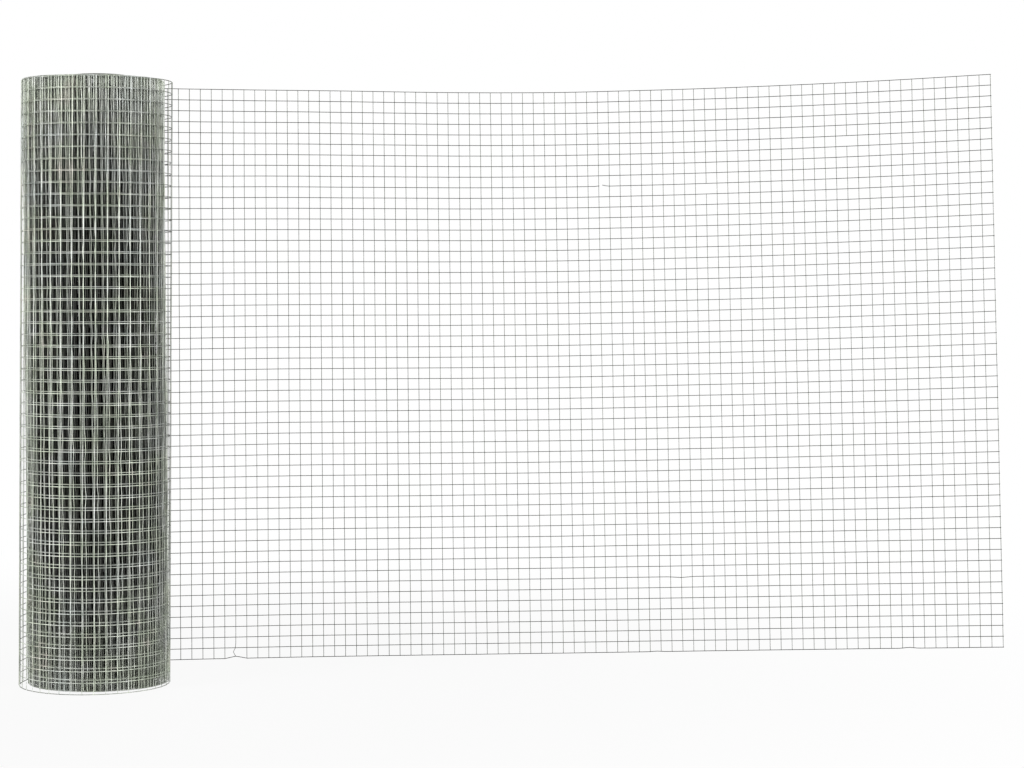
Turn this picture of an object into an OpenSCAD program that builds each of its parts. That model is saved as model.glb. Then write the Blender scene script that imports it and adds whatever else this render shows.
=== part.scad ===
// Roll of welded square mesh fencing, standing on one end with a length of it drawn out.
// Z is the axis of the roll, the floor is z = 0, and the drawn-out sheet runs towards +X.

/* [Mesh] */
// Height of a cell, wire to wire
cell_h = 19; // [12:0.5:26]
// Length of a cell along the sheet, wire to wire
cell_l = 19.4; // [12:0.1:26]
// Thickness of a wire
wire_t = 1.05; // [0.7:0.05:2]
// Cells from the bottom edge to the top edge
rows = 53; // [10:1:60]

/* [Wound roll] */
// Diameter of the bore
bore_d = 60; // [40:1:120]
// Turns wound tight around the bore
turns = 48; // [10:1:60]
// Radial pitch of the tight turns
turn_pitch = 1.8; // [1.4:0.1:4]
// Gap that shows between two tight turns on the ends
turn_gap = 0.6; // [0.2:0.1:1]
// Depth of the gaps between the turns on the ends
end_depth = 12; // [2:1:40]
// Height of the tight turns above the floor
tight_raise = 4; // [0:0.5:10]
// Turns of the core, which stands out of the top end
core_turns = 12; // [1:1:20]
// Height of the core above the floor
core_raise = 9; // [0:0.5:20]
// Open space between the tight turns and the loose outer turn
loose_gap = 7.5; // [2:0.5:30]

/* [Opening turn] */
// Angle past the side of the roll at which the sheet leaves it
leave_angle = 5; // [0:1:30]
// Angle through which the opening turn bends
opening_bend = 72.5; // [45:0.5:85]
// Cells along the opening turn
opening_cells = 14; // [8:1:28]
// Cells from one upright of the opening turn to the next one that is made
opening_step = 5; // [1:1:7]
// Depth to which those uprights are sunk into the line wires that bend past them
weld_sink = 0.2; // [0.05:0.05:0.5]

/* [Free sheet] */
// Cells along the free sheet
sheet_cells = 79; // [33:1:110]
// Radius to which the free sheet still curls
curl_r = 3300; // [1500:50:8000]
// In-plane turn of each panel on the one before it, which lifts the free end
panel_turn = 0.19; // [0:0.01:0.3]
// Length of the wire ends past the last upright
edge_stub = 1; // [0:0.5:5]

/* [Clearances] */
// Gap between two panels, and between the first panel and the roll
seam = 0.1; // [0.05:0.05:0.3]

/* [Hidden] */
$fn = 96;
galvanised = [0.56, 0.58, 0.56];
half = 0.5;
sheet_panels = 11;

sheet_h = rows * cell_h + wire_t;
sheet_t = 2 * wire_t;
bore_r = bore_d / 2;
loose_r = bore_r + turns * turn_pitch - turn_gap + loose_gap;
roll_r = loose_r + sheet_t;

leave_r = roll_r + seam + wire_t;
opening_r = opening_cells * cell_l / (opening_bend * PI / 180);
seam_bend = seam / opening_r * 180 / PI;
sheet_bend = sheet_cells * cell_l / curl_r * 180 / PI / sheet_panels;

// Inner radius, wall and height above the floor of turn k; the last one is the loose turn
function turn_r(k) = k < turns ? bore_r + k * turn_pitch : loose_r;
function turn_t(k) = k < turns ? turn_pitch - turn_gap : sheet_t;
function turn_z(k) = k < core_turns ? core_raise : k < turns ? tight_raise : 0;

// One turn's edge in the profile, standing from the web of the roll
function turn_edge(k, web_z, edge_z) = [
  [turn_r(k), web_z],
  [turn_r(k), edge_z],
  [turn_r(k) + turn_t(k), edge_z],
  [turn_r(k) + turn_t(k), web_z]
];
function without_ends(points) = [for (i = [1:len(points) - 2]) points[i]];
function reversed(points) = [for (i = [len(points) - 1:-1:0]) points[i]];

// First cell of panel k when the free sheet's cells are shared out among its panels
function first_cell(k) = floor(k * sheet_cells / sheet_panels);
function cells_in(k) = first_cell(k + 1) - first_cell(k);

// The turns of the roll as one turned solid, with every turn's edge showing on both ends
module wound_roll() {
  low_web = max(core_raise, tight_raise) + end_depth;
  high_web = sheet_h - end_depth;
  low_edges = [for (k = [0:turns]) each turn_edge(k, low_web, turn_z(k))];
  high_edges = [for (k = [0:turns]) each turn_edge(k, high_web, turn_z(k) + sheet_h)];
  color(galvanised)
    rotate_extrude()
      polygon(concat(without_ends(low_edges), reversed(without_ends(high_edges))));
}

// Places its children where the opening turn has bent through an angle
module along_opening(bend) {
  translate([-leave_r * cos(leave_angle), leave_r * sin(leave_angle), 0])
    rotate(90 - leave_angle)
      translate([0, -opening_r, 0])
        rotate(-bend)
          translate([0, opening_r, 0])
            children();
}

// Places its children at the start of panel k of the free sheet
module along_sheet(k) {
  if (k == 0) {
    along_opening(opening_bend)
      rotate(-half * sheet_bend)
        children();
  } else {
    along_sheet(k - 1)
      translate([cells_in(k - 1) * cell_l, 0, 0])
        rotate([0, -panel_turn, -sheet_bend])
          children();
  }
}

// The last turn as it opens off the roll: all its line wires, held by some of its uprights
module opening_turn() {
  color(galvanised)
    union() {
      along_opening(opening_bend)
        translate([0, -opening_r, 0])
          rotate(90 + seam_bend)
            rotate_extrude(angle = opening_bend - seam_bend)
              for (j = [0:rows])
                translate([opening_r - wire_t, j * cell_h])
                  square(wire_t);
      for (i = [0:opening_step:opening_cells - 1])
        along_opening((i + half) / opening_cells * opening_bend)
          translate([-half * wire_t, -weld_sink, half * wire_t])
            cube([wire_t, wire_t + weld_sink, sheet_h - wire_t]);
    }
}

// Flat panel of mesh: its line wires end on the tilted edge of the next panel
module sheet_panel(k) {
  cells = cells_in(k - 1);
  is_last = k == sheet_panels;
  run = is_last ? (cells - half) * cell_l + half * wire_t + edge_stub : cells * cell_l - seam;
  edge_turn = is_last ? 0 : panel_turn;
  color(galvanised)
    along_sheet(k - 1)
      union() {
        for (j = [0:rows])
          translate([0, -wire_t, j * cell_h])
            cube([run - j * cell_h * tan(edge_turn), wire_t, wire_t]);
        for (i = [0:cells - 1])
          translate([(i + half) * cell_l - half * wire_t, 0, 0])
            cube([wire_t, wire_t, sheet_h]);
      }
}

wound_roll();
opening_turn();
for (k = [1:sheet_panels])
  sheet_panel(k);
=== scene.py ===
"""Roll of galvanised welded mesh, standing on end with a length of it drawn out to one side.

The mesh is one long sheet. It follows one path, seen from above: tight turns around the bore, a loose
outer turn, the opening turn behind the roll, and the free sheet. Every wire of it is modelled.
"""
import math

import bpy
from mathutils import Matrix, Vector, noise


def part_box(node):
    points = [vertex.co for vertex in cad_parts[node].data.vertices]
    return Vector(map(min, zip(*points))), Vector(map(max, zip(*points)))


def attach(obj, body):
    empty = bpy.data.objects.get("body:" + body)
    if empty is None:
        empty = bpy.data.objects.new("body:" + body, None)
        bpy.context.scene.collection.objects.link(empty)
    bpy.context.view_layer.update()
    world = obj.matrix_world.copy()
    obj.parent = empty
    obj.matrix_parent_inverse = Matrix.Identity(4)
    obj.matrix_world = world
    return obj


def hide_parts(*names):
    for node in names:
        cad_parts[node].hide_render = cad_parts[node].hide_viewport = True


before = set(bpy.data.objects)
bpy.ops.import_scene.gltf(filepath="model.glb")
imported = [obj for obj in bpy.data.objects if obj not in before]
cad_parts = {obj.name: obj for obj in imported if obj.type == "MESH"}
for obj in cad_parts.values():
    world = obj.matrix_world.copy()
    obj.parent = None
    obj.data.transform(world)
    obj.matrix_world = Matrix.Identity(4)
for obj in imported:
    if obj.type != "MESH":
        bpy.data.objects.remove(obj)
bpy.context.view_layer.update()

MM = 0.001
UP = Vector((0, 0, 1))
WHITE = (1, 1, 1, 1)

# The mesh
CELL_H = 19 * MM
CELL_L = 19.4 * MM
HALF_CELL = 0.5
WIRE_D = 1.05 * MM
HEAVY_LINE_D = 1.2 * MM
ROWS = 53
SHEET_H = ROWS * CELL_H
WELD_SINK = 0.3 * MM
LAYER_GAP = WIRE_D - WELD_SINK
WELD_R = 0.85 * MM
WIRE_STUB = 1.2 * MM
ROUND_SIDES = 6

# The wound roll
BORE_R = 30 * MM
TIGHT_R = 117 * MM
TURNS = 48
FIRST_R = BORE_R + WIRE_D - WELD_SINK / 2
TURN_PITCH = (TIGHT_R - FIRST_R) / TURNS
FLOOR_CLEARANCE = 0.35 * MM
FLOOR_GAP = HEAVY_LINE_D / 2 + FLOOR_CLEARANCE
TIGHT_RAISE_LOW = 3.7 * MM
TIGHT_RAISE_HIGH = 2 * MM
DEEPER_RAISE = 0.7 * MM
DEEPER_TURNS = 2
UNEVEN_RAISE = 0.8 * MM
UNEVEN_STEP = 0.7
OFF_GRID = 0.5
ROW_SAG = 5 * MM
CORE_TURNS = 12
CORE_EASE_IN = 3
CORE_EASE_OUT = 2
CORE_RAISE = 9.5 * MM
CORE_R = FIRST_R + CORE_TURNS * TURN_PITCH
CORE_EDGE = 4 * MM
TIGHT_SHIFT_LOW = 6 * MM
TIGHT_SHIFT_HIGH = -4.5 * MM
TIGHT_BEND = 0.9 * MM
TIGHT_UPRIGHT_SIDES = 5

# The tight turns, from the bore outwards: name, first and last turn, sides of a line wire, steps of an
# upright, how far it stands aside at each line wire, and seed
TIGHT_PIECES = [
    ("inner_turns", 0, 24, 3, 4, 0.0, 1),
    ("middle_turns", 24, 38, 4, 4, 0.0, 2),
    ("under_turns", 38, 43, 4, ROWS, TIGHT_BEND, 5),
    ("outer_turns", 43, TURNS, 4, ROWS, TIGHT_BEND, 12),
]

# The loose outer turn
LOOSE_SHIFT_LOW = -2 * MM
LOOSE_SHIFT_HIGH = 2 * MM
LOOSE_R = (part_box("wound_roll")[1].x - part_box("wound_roll")[0].x) / 2 - WIRE_D
LOOSE_SETTLE = 0.4

# The opening turn behind the roll
LEAVE_ANGLE = math.radians(175)
OPENING_BEND = math.radians(72.5)
OPENING_CELLS = 14
OPENING_R = OPENING_CELLS * CELL_L / OPENING_BEND

# The free sheet
SHEET_CELLS = 78
SHEET_START = 13.8 * MM
SHEET_RUN = SHEET_START + SHEET_CELLS * CELL_L
CURL_R = 3300 * MM
START_LIFT = 5.2 * MM
END_LIFT = 31 * MM
LIFT_POWER = 2.2
START_SLANT = math.radians(0.32)
END_SLANT = math.radians(1.37)
SLANT_RUN = 1400 * MM
LEAN_FRONT = 27 * MM
LEAN_BACK = 30 * MM
LEAN_RUN = 830 * MM
SAG_RUN = 300 * MM
SHEET_DROP = 5.5 * MM
DROP_START = 250 * MM
DROP_END = 800 * MM

# Steps of the path: in a tight turn, from the loose turn to the free sheet, and in half the free sheet
TIGHT_STEPS = 72
LOOSE_STEPS = 400
SHEET_STEPS = 200

# How far the wires stray: out of the sheet, along it and up it
WANDER_SCALE = 0.12
DRIFT_SCALE = 0.05
WANDER_DETAIL = 2.0
TIGHT_WANDER = 0.35 * MM
TIGHT_ROW_WANDER = 0.7 * MM
TIGHT_SLIP = 12 * MM
LOOSE_WANDER = 0.5 * MM
LOOSE_ROW_WANDER = 0.3 * MM
SHEET_WANDER = 0.8 * MM
SHEET_ROW_WANDER = 0.45 * MM
SHEET_SEED = 7
DRIFT_SEED_STEP = 100
BEND_SEED_STEP = 10

# The tight turns' count of cells to the free end serves only their noise, so it starts anywhere far off
TIGHT_COUNT_START = 2000.0
TIGHT_COUNT_STEP = 500

# Reach of the damage, in cells
NEAR_CELLS = 0.2
BUCKLE_REACH = 0.6
BREAK_SHIFT = 0.17
BREAK_REACH = 0.1

# How bright the zinc is painted: painted shade deep in the roll, and again on the free sheet; painted light
# near the roll's ends
DEEP_SHADE = 0.01
SHADE_DEPTH = 2.8
FREE_SHADE = 0.27
BACK_SHADE = 0.4
LINE_SHADE_POWER = 1.6
TOP_LINE_SHADE = 0.5
TOP_LINE_START = 0.6
FOOT_LINE_SHADE = 0.4
SIDE_SHADE = 0.6
END_LIGHT = 400 * MM
END_LIGHT_POWER = 3.0
TOP_LIGHT = 0.75
CORE_LIGHT = 0.3
FLOOR_LIGHT = 0.42

# Shares of the way around the loose turn where painted shade darkens its back and lifts again, and darkens
# its side
BACK_SHADE_START = (0.33, 0.4)
BACK_SHADE_END = (0.47, 0.62)
SIDE_SHADE_START = (0.9, 0.98)

# The zinc's colours, and the sizes of its patterns in cycles to the metre
ZINC_STOPS = [
    (0.15, (0.36, 0.39, 0.34, 1)),
    (0.50, (0.65, 0.675, 0.62, 1)),
    (0.90, (0.93, 0.945, 0.91, 1)),
]
BLOOM_STOPS = [
    (0.32, (0.96, 0.99, 1.01, 1)),
    (0.45, (1.00, 1.00, 1.00, 1)),
    (0.60, (0.95, 1.00, 0.90, 1)),
    (0.72, (1.02, 0.97, 0.93, 1)),
]
SPANGLE_SCALE = 420.0
CLOUD_SCALE = 35.0
GRAIN_SCALE = 2600.0
PATCH_SCALE = 18.0
SHINE_FROM_TINT = 0.45
SHINE_FROM_FLAKE = 0.3
SHINE_FROM_CLOUD = 0.5
SHINE_DROP = 0.12
ROUGH_LEAST = 0.36
ROUGH_FROM_FLAKE = 0.16
ROUGH_FROM_GRAIN = 0.12
GRAIN_DEPTH = 0.05 * MM

# The studio
FLOOR_REACH = 12
FLOOR_FADE_START = 0.6
FLOOR_FADE_END = 2.2
FLOOR_WHITE_NEAR = 0.92
FLOOR_PALE = (0.86, 0.86, 0.86, 1)
FILL_STRENGTH = 0.2
SOFT_BOX_W = 1.6
SOFT_BOX_H = 2.2
# Name of a soft box, its place, what it faces and its power
SOFT_BOXES = [
    ("left_box", (-2.6, -2.2, 1.1), (0, 0, 0.5), 70),
    ("right_box", (3.4, -2.4, 1.2), (0.7, 0, 0.5), 98),
    ("back_box", (0.2, 3.6, 1.3), (0, 0, 0.5), 50),
]

# Camera: level, at the height and distance that the photograph's perspective gives
IMAGE_W = 1024
IMAGE_H = 768
FOCAL_PX = 2466
HORIZON_PX_Y = 297
ROLL_AXIS_PX_X = 96
PX_PER_M = 597
FLOOR_PX_Y = 683.5
SENSOR_W = 36
VIEW_END = 100


class Value:
    """An output socket that works in Python arithmetic: each operation adds a Math node."""

    def __init__(self, graph, socket):
        self.graph = graph
        self.socket = socket

    def out(self, name):
        """Another output of the same node."""
        return Value(self.graph, self.graph.find(self.socket.node.outputs, name))

    def __add__(self, other):
        return self.graph.math("ADD", self, other)

    def __sub__(self, other):
        return self.graph.math("SUBTRACT", self, other)

    def __rsub__(self, other):
        return self.graph.math("SUBTRACT", other, self)

    def __mul__(self, other):
        return self.graph.math("MULTIPLY", self, other)

    def __truediv__(self, other):
        return self.graph.math("DIVIDE", self, other)

    def __rtruediv__(self, other):
        return self.graph.math("DIVIDE", other, self)

    def __lt__(self, other):
        return self.graph.math("LESS_THAN", self, other)

    def __gt__(self, other):
        return self.graph.math("GREATER_THAN", self, other)

    __radd__ = __add__
    __rmul__ = __mul__


class Graph:
    """Adds nodes to one tree, of shader nodes or of geometry nodes."""

    def __init__(self, tree):
        self.tree = tree

    def find(self, sockets, key):
        if isinstance(key, int):
            return sockets[key]
        return next(s for s in sockets if s.enabled and key in (s.identifier, s.name))

    def node(self, kind, settings=None, inputs=None, out=0):
        """One node: its settings come first, then the values or links of its sockets."""
        made = self.tree.nodes.new(kind)
        for name, value in (settings or {}).items():
            if name == "stops":
                set_stops(made.color_ramp, value)
            else:
                setattr(made, name, value)
        for key, value in (inputs or {}).items():
            for one in value if isinstance(value, list) else [value]:
                self.feed(self.find(made.inputs, key), one)
        return Value(self, self.find(made.outputs, out)) if made.outputs else made

    def feed(self, socket, value):
        if isinstance(value, Value):
            self.tree.links.new(value.socket, socket)
        else:
            socket.default_value = value

    def math(self, operation, *values):
        return self.node("ShaderNodeMath", {"operation": operation}, dict(enumerate(values)))

    def vector(self, operation, a, b):
        key = "Scale" if operation == "SCALE" else 1
        return self.node("ShaderNodeVectorMath", {"operation": operation}, {0: a, key: b})

    def length(self, vector):
        return self.node("ShaderNodeVectorMath", {"operation": "LENGTH"}, {0: vector}, "Value")

    def combine(self, x, y, z):
        return self.node("ShaderNodeCombineXYZ", inputs={0: x, 1: y, 2: z})


def set_stops(ramp, stops):
    while len(ramp.elements) < len(stops):
        ramp.elements.new(1)
    for element, (position, colour) in zip(ramp.elements, stops):
        element.position = position
        element.color = colour


# The path of the sheet

def ease(start, end, x):
    """0 before start, 1 after end, and smooth between them."""
    share = min(max((x - start) / (end - start), 0), 1)
    return share * share * (3 - 2 * share)


def mix(a, b, share):
    return a + (b - a) * share


def heading_vector(heading):
    return Vector((math.cos(heading), math.sin(heading), 0))


def along_arc(start, heading, radius, distance):
    """Where a path stands after bending to the right along an arc, and where it then heads."""
    centre = start + heading_vector(heading - math.pi / 2) * radius
    turned = heading - distance / radius
    return centre + heading_vector(turned + math.pi / 2) * radius, turned


LOOSE_RUN = 2 * math.pi * LOOSE_R
OPENING_RUN = OPENING_CELLS * CELL_L
LEAVE_POINT = heading_vector(LEAVE_ANGLE) * LOOSE_R
LEAVE_HEADING = LEAVE_ANGLE - math.pi / 2
TIGHT_UPWARD = Vector(((TIGHT_SHIFT_HIGH - TIGHT_SHIFT_LOW) / SHEET_H, 0,
                       1 + (TIGHT_RAISE_HIGH - TIGHT_RAISE_LOW) / SHEET_H))
LOOSE_UPWARD = Vector(((LOOSE_SHIFT_HIGH - LOOSE_SHIFT_LOW) / SHEET_H, 0, 1))


def tight_path(turn):
    """At a turn counted from the bore: the sheet's foot, the way up it, its painted shade and its rows' sag.
    """
    angle = LEAVE_ANGLE + 2 * math.pi * (TURNS - turn)
    foot = heading_vector(angle) * (FIRST_R + turn * TURN_PITCH)
    foot.x += TIGHT_SHIFT_LOW
    deeper = ease(TURNS, TURNS - DEEPER_TURNS, turn)
    uneven = noise.noise((turn * UNEVEN_STEP, OFF_GRID, OFF_GRID)) * UNEVEN_RAISE
    raised = TIGHT_RAISE_LOW + (DEEPER_RAISE + uneven) * deeper
    wound_on = ease(CORE_TURNS - CORE_EASE_IN, CORE_TURNS + CORE_EASE_OUT, turn)
    foot.z = FLOOR_GAP + mix(CORE_RAISE + uneven, raised, wound_on)
    upward = UP.lerp(TIGHT_UPWARD, wound_on)
    upward.z -= deeper * DEEPER_RAISE / SHEET_H * wound_on
    # Painted shade: the deeper a turn lies in the roll, the darker its zinc is painted, for the light that
    # doesn't reach it.
    shade = mix(DEEP_SHADE, 1, math.exp((turn - TURNS) / SHADE_DEPTH))
    return foot, upward, shade, ROW_SAG


def loose_path(distance):
    """The same for the loose outer turn, which leaves the tight turns at the back of the roll."""
    around = distance / LOOSE_RUN
    settled = ease(0, LOOSE_SETTLE, around)
    angle = LEAVE_ANGLE - distance / LOOSE_R
    foot = heading_vector(angle) * mix(TIGHT_R, LOOSE_R, settled)
    foot.x += mix(TIGHT_SHIFT_LOW, LOOSE_SHIFT_LOW, settled)
    foot.z = FLOOR_GAP + mix(TIGHT_RAISE_LOW, 0, settled)
    # Painted shade: the loose turn is painted darker on its back and on its side, where less light falls.
    painted_shading = ease(*BACK_SHADE_START, around) - ease(*BACK_SHADE_END, around)
    shade = mix(1, BACK_SHADE, painted_shading) * mix(1, SIDE_SHADE, ease(*SIDE_SHADE_START, around))
    return foot, TIGHT_UPWARD.lerp(LOOSE_UPWARD, settled), shade, ROW_SAG


def open_path(distance):
    """The same past the roll, where the sheet opens, rises a little and leans one way and the other."""
    foot, heading = along_arc(LEAVE_POINT, LEAVE_HEADING, OPENING_R, min(distance, OPENING_RUN))
    run = distance - OPENING_RUN
    if run > 0:
        foot, heading = along_arc(foot, heading, CURL_R, run)
    ahead = heading_vector(heading)
    side = heading_vector(heading - math.pi / 2)
    far = max(run, 0) / SHEET_RUN
    opened = ease(-OPENING_RUN, 0, run)
    lean = LEAN_FRONT * opened - (LEAN_FRONT + LEAN_BACK) * ease(0, LEAN_RUN, run)
    slant = START_SLANT * opened + (END_SLANT - START_SLANT) * ease(0, SLANT_RUN, run)
    foot = foot - side * lean / 2
    foot.x += mix(LOOSE_SHIFT_LOW, 0, opened)
    foot.z = FLOOR_GAP + START_LIFT * opened + END_LIFT * far ** LIFT_POWER
    upward = LOOSE_UPWARD.lerp(UP, opened) + side * lean / SHEET_H - ahead * math.tan(slant)
    upward.z -= SHEET_DROP / SHEET_H * ease(DROP_START, DROP_END, run)
    sag = mix(ROW_SAG, 0, ease(-OPENING_RUN, SAG_RUN, run))
    # Painted shade: as the sheet opens, its wires go from the side's painted shade to the free sheet's darker
    # painted shade.
    return foot, upward, mix(SIDE_SHADE, FREE_SHADE, opened), sag


def outer_path(distance):
    """The same from the start of the loose turn to the free end."""
    if distance < LOOSE_RUN:
        return loose_path(distance)
    return open_path(distance - LOOSE_RUN)


OUTER_RUN = LOOSE_RUN + OPENING_RUN + SHEET_RUN
FREE_START = OUTER_RUN - SHEET_CELLS * CELL_L


def guide(name, places):
    """A chain of edges along the path, which carries how the mesh stands there and the shade painted on it.
    """
    mesh = bpy.data.meshes.new(name)
    feet, directions, shades, sags = zip(*places)
    mesh.from_pydata(feet, [(i, i + 1) for i in range(len(feet) - 1)], [])
    upward = mesh.attributes.new("upward", "FLOAT_VECTOR", "POINT")
    upward.data.foreach_set("vector", [part for direction in directions for part in direction])
    # The shade values are painted shade, later multiplied into the zinc colour.
    for attribute, values in (("shade", shades), ("sag", sags)):
        mesh.attributes.new(attribute, "FLOAT", "POINT").data.foreach_set("value", values)
    piece = bpy.data.objects.new(name, mesh)
    bpy.context.scene.collection.objects.link(piece)
    return piece


def path_places(path, start, end, steps):
    return [path(mix(start, end, i / steps)) for i in range(steps + 1)]


# The tree that welds a mesh along a path

class Damage:
    """Places of bent and broken wire, each counted in cells from the free end and in rows."""
    # Cells, row, reach along the line wire in cells, and rise
    kinks = [
        (70, 0, 1.0, 4.0 * MM),
        (8.4, 0, 0.8, 1.6 * MM),
        (31.4, 0, 0.8, 1.0 * MM),
        (29, 7, 1.2, -1.6 * MM),
        (35.67, 44, 0.5, 2.2 * MM),
    ]
    # Cells, row, and push to one side
    buckles = [(70, 0, 4.5 * MM)]
    missing_uprights = [(26, 43), (13, 47)]
    broken_lines = [(36, 44)]


SIZES = [
    ("Cells", "NodeSocketInt"),
    ("Cells to the free end", "NodeSocketFloat"),
    ("Line steps in a cell", "NodeSocketInt"),
    ("Upright steps", "NodeSocketInt"),
    ("Uprights left out at the end", "NodeSocketInt"),
    ("Rows", "NodeSocketInt"),
    ("Cell height", "NodeSocketFloat"),
    ("Line sides", "NodeSocketInt"),
    ("Line radius", "NodeSocketFloat"),
    ("Upright sides", "NodeSocketInt"),
    ("Upright radius", "NodeSocketFloat"),
    ("Layer gap", "NodeSocketFloat"),
    ("Wire stub", "NodeSocketFloat"),
    ("Weld size", "NodeSocketFloat"),
    ("Wander", "NodeSocketFloat"),
    ("Row wander", "NodeSocketFloat"),
    ("Wander scale", "NodeSocketFloat"),
    ("Slip", "NodeSocketFloat"),
    ("Upright bend", "NodeSocketFloat"),
    ("Seed", "NodeSocketInt"),
]


def tent(g, value, centre, reach):
    """1 at the centre, falling to 0 at the reach on both sides."""
    off = g.math("ABSOLUTE", value - centre)
    return g.math("MAXIMUM", 1 - off / reach, 0.0)


def bow(share):
    """0 at both ends of a length and 1 in its middle."""
    return 4 * share * (1 - share)


def swing(level, reach):
    """A noise from 0 to 1 as a distance to one side or the other, of no more than the reach."""
    return (level - 0.5) * 2 * reach


def smooth_range(g, value, start, end, from_value, to_value):
    """From one value to another, smooth between the start and the end."""
    return g.node("ShaderNodeMapRange", {"interpolation_type": "SMOOTHSTEP"}, {
        "Value": value, "From Min": start, "From Max": end, "To Min": from_value, "To Max": to_value})


def near(g, value, centre):
    return g.math("ABSOLUTE", value - centre) < NEAR_CELLS


def read(g, name, kind="FLOAT"):
    return g.node("GeometryNodeInputNamedAttribute", {"data_type": kind}, {"Name": name})


def sampled(g, path, share, name, kind="FLOAT"):
    """A value that the guide carries, at a share of the path's length."""
    return g.node("GeometryNodeSampleCurve",
                  {"mode": "FACTOR", "use_all_curves": True, "data_type": kind},
                  {"Curves": path, "Value": read(g, name, kind), "Factor": share}, "Value")


def strays(g, size, to_end, row, damage):
    """How far a crossing strays: out of the sheet, up it and along it."""
    across = g.combine(to_end, row, size["Seed"])
    waver = g.node("ShaderNodeTexNoise", {"noise_dimensions": "3D"},
                   {"Vector": across, "Scale": size["Wander scale"], "Detail": WANDER_DETAIL}, "Color")
    parts = g.node("ShaderNodeSeparateXYZ", inputs={0: waver})
    out_of_true = swing(parts.out("X"), size["Wander"])
    climb = swing(parts.out("Y"), size["Row wander"])
    slip = swing(parts.out("Z"), size["Row wander"])
    drift = g.node("ShaderNodeTexNoise", {"noise_dimensions": "1D"},
                   {"W": to_end + size["Seed"] * DRIFT_SEED_STEP, "Scale": DRIFT_SCALE,
                    "Detail": WANDER_DETAIL}, "Fac")
    slip = slip + swing(drift, size["Slip"])
    aside = g.node("FunctionNodeRandomValue", {"data_type": "FLOAT"},
                   {"Min": -1.0, "Max": 1.0, "Seed": size["Seed"] + BEND_SEED_STEP}, "Value")
    slip = slip + aside * size["Upright bend"]
    for cells, at_row, reach, rise in damage.kinks if damage else []:
        climb = climb + tent(g, to_end, cells, reach) * tent(g, row, at_row, 1) * rise
    for cells, at_row, push in damage.buckles if damage else []:
        bent = near(g, to_end, cells) * tent(g, row, at_row + HALF_CELL, BUCKLE_REACH)
        slip = slip - bent * push
    return out_of_true, climb, slip


def place_crossings(g, size, columns, levels, damage, shade_power=1.0):
    """A grid of points on the path's surface, one column for each step along it."""
    path = g.node("GeometryNodeMeshToCurve", inputs={"Mesh": size["Path"]})
    grid = g.node("GeometryNodeMeshGrid", inputs={"Vertices X": columns + 1, "Vertices Y": levels + 1})
    index = g.node("GeometryNodeInputIndex")
    column = g.math("FLOOR", (index + 0.5) / (levels + 1))
    level = index - column * (levels + 1)
    share = column / columns
    up_share = level / levels
    row = up_share * size["Rows"]
    to_end = size["Cells to the free end"] - share * size["Cells"]

    upward = sampled(g, path, share, "upward", "FLOAT_VECTOR")
    shade = sampled(g, path, share, "shade")
    sag = sampled(g, path, share, "sag")
    ahead = upward.out("Tangent")
    side = g.vector("NORMALIZE", g.vector("CROSS_PRODUCT", ahead, upward), (0, 0, 0))

    out_of_true, climb, slip = strays(g, size, to_end, row, damage)
    height = row * size["Cell height"] - bow(up_share) * sag + climb
    spot = g.vector("ADD", upward.out("Position"), g.vector("SCALE", upward, height))
    spot = g.vector("ADD", spot, g.vector("SCALE", side, out_of_true))
    spot = g.vector("ADD", spot, g.vector("SCALE", ahead, slip))
    tint = g.node("FunctionNodeRandomValue", {"data_type": "FLOAT"}, {"Seed": size["Seed"]}, "Value")
    # Painted shade: line wires take the shade to a higher power, and are painted darker still towards the top
    # and at the foot row.
    painted_shading = g.math("POWER", shade, shade_power)
    if shade_power > 1:
        painted_shading = painted_shading * smooth_range(g, up_share, TOP_LINE_START, 1.0, 1.0, TOP_LINE_SHADE)
        painted_shading = painted_shading * smooth_range(g, row, 0.0, 1.0, FOOT_LINE_SHADE, 1.0)
    for name, kind, value in (("side", "FLOAT_VECTOR", side), ("tint", "FLOAT", tint),
                              ("shade", "FLOAT", painted_shading), ("to_end", "FLOAT", to_end),
                              ("row", "FLOAT", row)):
        grid = g.node("GeometryNodeStoreNamedAttribute", {"data_type": kind, "domain": "POINT"},
                      {"Geometry": grid, "Name": name, "Value": value})
    return g.node("GeometryNodeSetPosition", inputs={"Geometry": grid, "Position": spot})


def shifted(g, geometry, distance):
    """The crossings moved off the sheet's middle, towards its inner or outer side."""
    offset = g.vector("SCALE", read(g, "side", "FLOAT_VECTOR"), distance)
    return g.node("GeometryNodeSetPosition", inputs={"Geometry": geometry, "Offset": offset})


def chosen_curves(g, crossings, chosen):
    return g.node("GeometryNodeMeshToCurve", inputs={"Mesh": crossings, "Selection": chosen})


def drawn_wire(g, curves, sides, radius):
    """Round wire along the curves, closed at its ends."""
    profile = g.node("GeometryNodeCurvePrimitiveCircle", {"mode": "RADIUS"},
                     {"Resolution": sides, "Radius": radius})
    return g.node("GeometryNodeCurveToMesh",
                  inputs={"Curve": curves, "Profile Curve": profile, "Fill Caps": True})


def on_a_line(g):
    """1 on the edges of line wires: only on an upright are an edge's two crossings numbered in a row."""
    ends = g.node("GeometryNodeInputMeshEdgeVertices", out="Vertex Index 1")
    return g.math("ABSOLUTE", ends - ends.out("Vertex Index 2")) > 1.5


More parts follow.
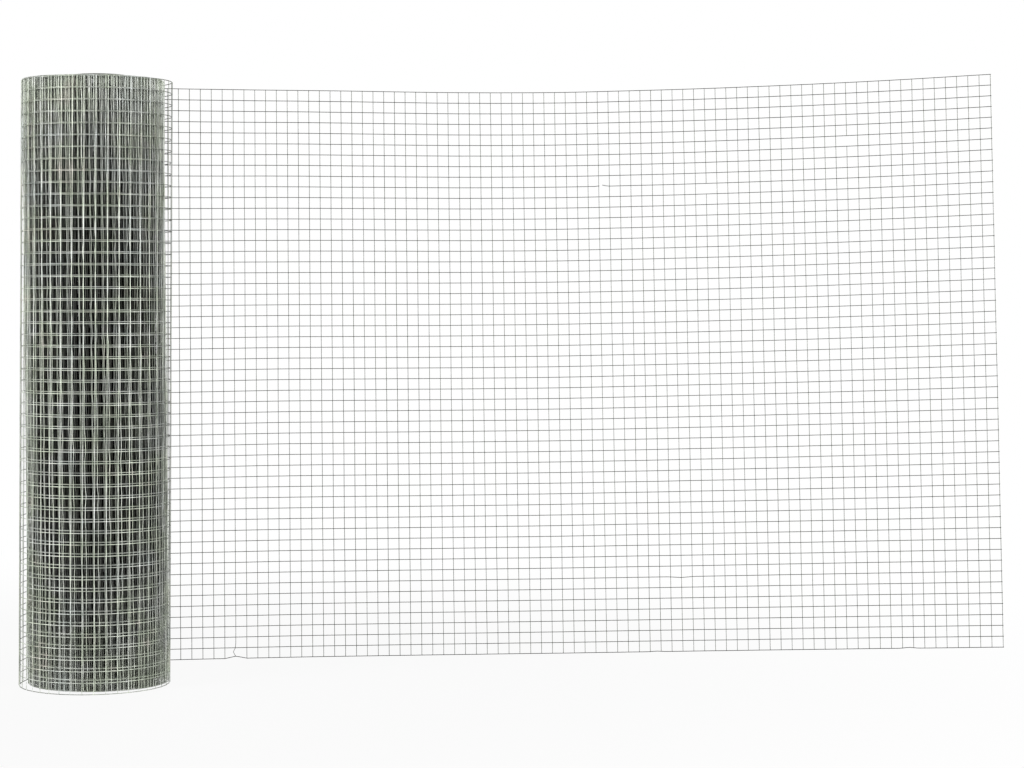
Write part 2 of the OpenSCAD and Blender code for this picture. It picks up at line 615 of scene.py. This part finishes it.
def line_wires(g, size, damage):
    columns = size["Cells"] * size["Line steps in a cell"]
    crossings = place_crossings(g, size, columns, size["Rows"], damage, LINE_SHADE_POWER)
    crossings = shifted(g, crossings, size["Layer gap"] / 2)
    chosen = on_a_line(g)
    to_end, row = read(g, "to_end"), read(g, "row")
    for cells, at_row in damage.broken_lines if damage else []:
        broken = tent(g, to_end, cells - BREAK_SHIFT, BREAK_REACH) > 0
        chosen = chosen * (1 - broken * near(g, row, at_row))
    curves = chosen_curves(g, crossings, chosen)
    at_end = g.node("GeometryNodeCurveEndpointSelection", inputs={"Start Size": 0, "End Size": 1})
    stub = g.vector("SCALE", g.node("GeometryNodeInputTangent"), size["Wire stub"])
    curves = g.node("GeometryNodeSetPosition",
                    inputs={"Geometry": curves, "Selection": at_end, "Offset": stub})
    return drawn_wire(g, curves, size["Line sides"], size["Line radius"])


def upright_wires(g, size, damage):
    crossings = place_crossings(g, size, size["Cells"], size["Upright steps"], damage)
    crossings = shifted(g, crossings, size["Layer gap"] / -2)
    to_end, row = read(g, "to_end"), read(g, "row")
    last = size["Cells to the free end"] - size["Cells"] + size["Uprights left out at the end"]
    chosen = (1 - on_a_line(g)) * (to_end > last - HALF_CELL)
    for cells, at_row in damage.missing_uprights if damage else []:
        in_cell = tent(g, row, at_row + HALF_CELL, HALF_CELL) > 0
        chosen = chosen * (1 - near(g, to_end, cells) * in_cell)
    curves = chosen_curves(g, crossings, chosen)
    return drawn_wire(g, curves, size["Upright sides"], size["Upright radius"])


def welds(g, size, damage):
    """A small bead of zinc at every crossing."""
    crossings = place_crossings(g, size, size["Cells"], size["Rows"], damage)
    bead = g.node("GeometryNodeMeshUVSphere",
                  inputs={"Segments": 4, "Rings": 2, "Radius": size["Weld size"]})
    return g.node("GeometryNodeInstanceOnPoints", inputs={"Points": crossings, "Instance": bead})


def welded_mesh_tree(name, finish, with_welds, damage=None):
    tree = bpy.data.node_groups.new(name, "GeometryNodeTree")
    tree.interface.new_socket("Path", in_out="INPUT", socket_type="NodeSocketGeometry")
    for size_name, kind in SIZES:
        tree.interface.new_socket(size_name, in_out="INPUT", socket_type=kind)
    tree.interface.new_socket("Mesh", in_out="OUTPUT", socket_type="NodeSocketGeometry")
    g = Graph(tree)
    given = g.node("NodeGroupInput", out="Path")
    size = {"Path": given}
    for size_name, _ in SIZES:
        size[size_name] = given.out(size_name)
    made = [line_wires(g, size, damage), upright_wires(g, size, damage)]
    if with_welds:
        made.append(welds(g, size, damage))
    whole = g.node("GeometryNodeJoinGeometry", inputs={"Geometry": made})
    whole = g.node("GeometryNodeSetShadeSmooth", inputs={"Geometry": whole})
    whole = g.node("GeometryNodeRealizeInstances", inputs={"Geometry": whole})
    whole = g.node("GeometryNodeSetMaterial", inputs={"Geometry": whole, "Material": finish})
    g.node("NodeGroupOutput", inputs={"Mesh": whole})
    return tree


def profile_radius(sides, wire_d=WIRE_D):
    """Radius of a few-sided wire that looks as wide as the round one."""
    return wire_d / 2 * math.pi / (sides * math.sin(math.pi / sides))


def weld_mesh(path_piece, tree, sizes):
    """Runs the tree on a path and keeps the result as a plain mesh."""
    sizes = {"Rows": ROWS, "Cell height": CELL_H, "Layer gap": LAYER_GAP, "Wander scale": WANDER_SCALE,
             "Line radius": profile_radius(sizes["Line sides"]),
             "Upright radius": profile_radius(sizes["Upright sides"]), **sizes}
    welder = path_piece.modifiers.new("welded mesh", "NODES")
    welder.node_group = tree
    for item in tree.interface.items_tree:
        if item.in_out == "INPUT" and item.name in sizes:
            welder[item.identifier] = sizes[item.name]
    graph = bpy.context.evaluated_depsgraph_get()
    mesh = bpy.data.meshes.new_from_object(path_piece.evaluated_get(graph), depsgraph=graph)
    path_piece.modifiers.remove(welder)
    mesh.name = path_piece.name
    path_piece.data = mesh
    return path_piece


# Materials

def new_material(name):
    material = bpy.data.materials.new(name)
    material.use_nodes = True
    material.node_tree.nodes.clear()
    return material, Graph(material.node_tree)


def cloudy(g, place, scale, detail):
    return g.node("ShaderNodeTexNoise", inputs={"Vector": place, "Scale": scale, "Detail": detail}, out="Fac")


def light_that_reaches(g, place):
    """Painted shade, darker deep in the roll, lifted by painted light near its open ends."""
    shade = g.node("ShaderNodeAttribute", {"attribute_name": "shade"}, out="Fac")
    height = g.node("ShaderNodeSeparateXYZ", inputs={0: place}, out="Z")
    from_axis = g.length(g.vector("MULTIPLY", place, (1, 1, 0)))
    light = 0.0
    top_light = smooth_range(g, from_axis, CORE_R - CORE_EDGE, CORE_R + CORE_EDGE, CORE_LIGHT, TOP_LIGHT)
    for to_end, strength in ((SHEET_H + CORE_RAISE - height, top_light), (height, FLOOR_LIGHT)):
        reach = g.math("MAXIMUM", 1 - to_end / END_LIGHT, 0.0)
        light = light + g.math("POWER", reach, END_LIGHT_POWER) * strength
    return shade + (1 - shade) * light * (from_axis < LOOSE_R)


def galvanised_wire():
    """Zinc on drawn wire: a dull grey with a faint spangle, each length of wire a little different, times the
    painted shade.
    """
    material, g = new_material("galvanised_wire")
    place = g.node("ShaderNodeTexCoord", out="Object")
    tint = g.node("ShaderNodeAttribute", {"attribute_name": "tint"}, out="Fac")
    spangle = g.node("ShaderNodeTexVoronoi", inputs={"Vector": place, "Scale": SPANGLE_SCALE}, out="Color")
    flake = g.node("ShaderNodeSeparateColor", inputs={0: spangle}, out="Red")
    cloud = cloudy(g, place, CLOUD_SCALE, 3.0)
    grain = cloudy(g, place, GRAIN_SCALE, 2.0)
    patch = cloudy(g, place, PATCH_SCALE, 2.0)
    shine = SHINE_FROM_TINT * tint + SHINE_FROM_FLAKE * flake + SHINE_FROM_CLOUD * cloud - SHINE_DROP
    zinc = g.node("ShaderNodeValToRGB", {"stops": ZINC_STOPS}, {"Fac": shine})
    bloom = g.node("ShaderNodeValToRGB", {"stops": BLOOM_STOPS}, {"Fac": patch})
    zinc_bloom_and_painted_shade = g.vector("MULTIPLY", zinc, bloom)
    # Painted shade and painted light: the zinc colour is scaled down deep in the roll, on the free sheet and
    # on the loose turn's sides, and lifted near the roll's ends.
    zinc_bloom_and_painted_shade = g.vector("SCALE", zinc_bloom_and_painted_shade, light_that_reaches(g, place))
    rough = ROUGH_LEAST + ROUGH_FROM_FLAKE * flake + ROUGH_FROM_GRAIN * grain
    bump = g.node("ShaderNodeBump", inputs={"Strength": 0.25, "Distance": GRAIN_DEPTH, "Height": grain},
                  out="Normal")
    surface = g.node("ShaderNodeBsdfPrincipled", inputs={
        "Base Color": zinc_bloom_and_painted_shade, "Roughness": rough, "Metallic": 0.85, "Specular IOR Level": 0.2,
        "Specular Tint": (0.6, 0.6, 0.6, 1), "Normal": bump})
    g.node("ShaderNodeOutputMaterial", inputs={"Surface": surface})
    return material


def seen_rays(g):
    """1 on the rays by which the camera sees the backdrop, straight or in shiny metal."""
    path = g.node("ShaderNodeLightPath", out="Is Camera Ray")
    return g.math("MINIMUM", path + path.out("Is Glossy Ray") + path.out("Is Transmission Ray"), 1.0)


def studio_floor():
    """White for the camera and in the zinc, and plain pale near the roll, where it keeps the shadow."""
    material, g = new_material("studio_floor")
    place = g.node("ShaderNodeTexCoord", out="Object")
    fade = smooth_range(g, g.length(place), FLOOR_FADE_START, FLOOR_FADE_END, FLOOR_WHITE_NEAR, 1.0)
    seen = seen_rays(g)
    pale = g.node("ShaderNodeBsdfDiffuse", inputs={"Color": FLOOR_PALE})
    white = g.node("ShaderNodeEmission", inputs={"Color": WHITE, "Strength": 1.0})
    surface = g.node("ShaderNodeMixShader", inputs={0: fade * seen, 1: pale, 2: white})
    g.node("ShaderNodeOutputMaterial", inputs={"Surface": surface})
    return material


# The pieces

def build_roll(finish):
    plain = welded_mesh_tree("mesh_of_the_tight_turns", finish, with_welds=False)
    made = []
    for order, (name, first, last, sides, upright_steps, bend, seed) in enumerate(TIGHT_PIECES):
        middle_r = FIRST_R + (first + last) / 2 * TURN_PITCH
        cells = round((last - first) * 2 * math.pi * middle_r / CELL_L)
        piece = guide(name, path_places(tight_path, first, last, (last - first) * TIGHT_STEPS))
        made.append(weld_mesh(piece, plain, {
            "Cells": cells, "Cells to the free end": TIGHT_COUNT_START - TIGHT_COUNT_STEP * order,
            "Line steps in a cell": 1, "Upright steps": upright_steps, "Uprights left out at the end": 1,
            "Line sides": sides, "Upright sides": TIGHT_UPRIGHT_SIDES, "Wander": TIGHT_WANDER,
            "Row wander": TIGHT_ROW_WANDER, "Slip": TIGHT_SLIP, "Upright bend": bend, "Seed": seed}))
    welded = welded_mesh_tree("mesh_of_the_loose_turn", finish, with_welds=True)
    piece = guide("loose_turn", path_places(outer_path, 0, FREE_START, LOOSE_STEPS))
    cells = round(FREE_START / CELL_L)
    made.append(weld_mesh(piece, welded, {
        "Cells": cells, "Cells to the free end": float(SHEET_CELLS + cells), "Line steps in a cell": 1,
        "Upright steps": ROWS, "Uprights left out at the end": 1,
        "Line sides": ROUND_SIDES, "Upright sides": ROUND_SIDES,
        "Line radius": profile_radius(ROUND_SIDES, HEAVY_LINE_D), "Weld size": WELD_R,
        "Wander": LOOSE_WANDER, "Row wander": LOOSE_ROW_WANDER, "Seed": SHEET_SEED}))
    return made


def build_sheet(finish):
    tree = welded_mesh_tree("mesh_of_the_free_sheet", finish, with_welds=True, damage=Damage)
    half = SHEET_CELLS // 2
    made = []
    for name, first in (("free_sheet_near", 0), ("free_sheet_far", half)):
        last = first == half
        start = FREE_START + first * CELL_L
        piece = guide(name, path_places(outer_path, start, start + half * CELL_L, SHEET_STEPS))
        made.append(weld_mesh(piece, tree, {
            "Cells": half, "Cells to the free end": float(SHEET_CELLS - first), "Line steps in a cell": 3,
            "Upright steps": 2 * ROWS, "Uprights left out at the end": 0 if last else 1,
            "Line sides": ROUND_SIDES, "Upright sides": ROUND_SIDES,
            "Line radius": profile_radius(ROUND_SIDES, HEAVY_LINE_D), "Weld size": WELD_R,
            "Wire stub": WIRE_STUB if last else 0.0,
            "Wander": SHEET_WANDER, "Row wander": SHEET_ROW_WANDER, "Seed": SHEET_SEED}))
    return made


def build_stage():
    mesh = bpy.data.meshes.new("floor")
    corners = [(-1, -1), (1, -1), (1, 1), (-1, 1)]
    mesh.from_pydata([(x * FLOOR_REACH, y * FLOOR_REACH, 0) for x, y in corners], [], [(0, 1, 2, 3)])
    mesh.materials.append(studio_floor())
    floor = bpy.data.objects.new("floor", mesh)
    bpy.context.scene.collection.objects.link(floor)

    world = bpy.data.worlds.new("studio")
    world.use_nodes = True
    world.node_tree.nodes.clear()
    g = Graph(world.node_tree)
    seen = seen_rays(g)
    white = g.node("ShaderNodeBackground", inputs={"Color": WHITE, "Strength": 1.0})
    fill = g.node("ShaderNodeBackground", inputs={"Color": WHITE, "Strength": FILL_STRENGTH})
    both = g.node("ShaderNodeMixShader", inputs={0: seen, 1: fill, 2: white})
    g.node("ShaderNodeOutputWorld", inputs={"Surface": both})
    bpy.context.scene.world = world


def soft_light(name, place, target, power):
    lamp = bpy.data.lights.new(name, "AREA")
    lamp.shape = "RECTANGLE"
    lamp.size = SOFT_BOX_W
    lamp.size_y = SOFT_BOX_H
    lamp.energy = power
    light = bpy.data.objects.new(name, lamp)
    light.location = place
    light.rotation_euler = (Vector(target) - Vector(place)).to_track_quat("-Z", "Y").to_euler()
    bpy.context.scene.collection.objects.link(light)


def build_camera():
    camera = bpy.data.cameras.new("camera")
    camera.sensor_width = SENSOR_W
    camera.lens = FOCAL_PX / IMAGE_W * SENSOR_W
    camera.shift_y = (HORIZON_PX_Y - IMAGE_H / 2) / IMAGE_W
    camera.clip_end = VIEW_END
    eye = bpy.data.objects.new("camera", camera)
    eye.location = ((IMAGE_W / 2 - ROLL_AXIS_PX_X) / PX_PER_M, -FOCAL_PX / PX_PER_M,
                    (FLOOR_PX_Y - HORIZON_PX_Y) / PX_PER_M)
    eye.rotation_euler = (math.pi / 2, 0, 0)
    bpy.context.scene.collection.objects.link(eye)
    bpy.context.scene.camera = eye


def main():
    bpy.context.scene.view_settings.view_transform = "Standard"
    build_camera()
    build_stage()
    for soft_box in SOFT_BOXES:
        soft_light(*soft_box)
    finish = galvanised_wire()
    roll_pieces = build_roll(finish)
    sheet_pieces = build_sheet(finish)
    for piece in roll_pieces + sheet_pieces:
        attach(piece, "root")
    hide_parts("wound_roll")
    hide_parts("opening_turn")
    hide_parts(*[f"sheet_panel_{k}" for k in range(1, 6)])
    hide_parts(*[f"sheet_panel_{k}" for k in range(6, 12)])


main()
